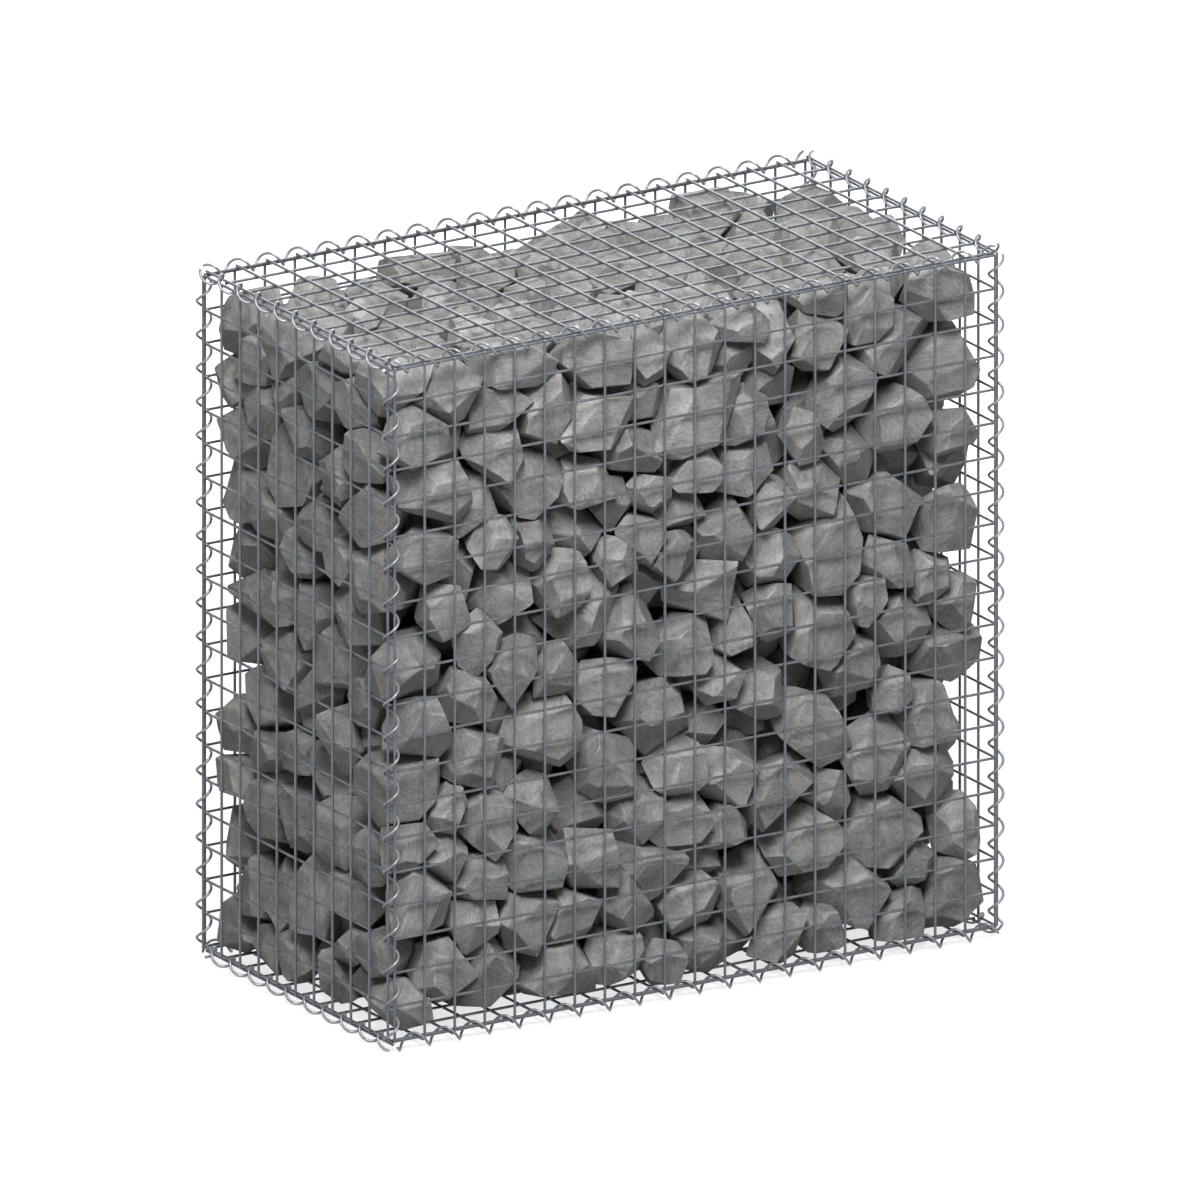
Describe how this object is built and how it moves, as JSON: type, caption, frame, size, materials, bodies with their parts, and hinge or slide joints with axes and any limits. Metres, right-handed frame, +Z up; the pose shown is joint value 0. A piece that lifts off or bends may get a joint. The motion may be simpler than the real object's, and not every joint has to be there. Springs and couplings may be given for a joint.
{
  "type": "gabion wall basket",
  "caption": "Free-standing wall block of broken stones in a box of welded wire mesh, its panels laced along every edge with wire spirals.",
  "frame": {"origin": "centre of the basket's outline on the level that it stands on", "axes": "+Z up, +X along the long front, +Y from the front to the back"},
  "size_m": [1.0342, 0.5344, 1.0351],
  "materials": {
    "mesh_wire": "dull galvanised wire",
    "spiral_wire": "brighter galvanised wire",
    "stone": "broken grey stone, matt"
  },
  "bodies": {
    "root": {"front_panel": "mesh_wire", "back_panel": "mesh_wire", "left_panel": "mesh_wire", "right_panel": "mesh_wire", "base_panel": "mesh_wire", "lid_panel": "mesh_wire", "bottom_front_spiral": "spiral_wire", "bottom_back_spiral": "spiral_wire", "bottom_left_spiral": "spiral_wire", "bottom_right_spiral": "spiral_wire", "top_front_spiral": "spiral_wire", "top_back_spiral": "spiral_wire", "top_left_spiral": "spiral_wire", "top_right_spiral": "spiral_wire", "front_left_spiral": "spiral_wire", "back_left_spiral": "spiral_wire", "front_right_spiral": "spiral_wire", "back_right_spiral": "spiral_wire", "stone_fill": "stone"}
  },
  "joints": []
}
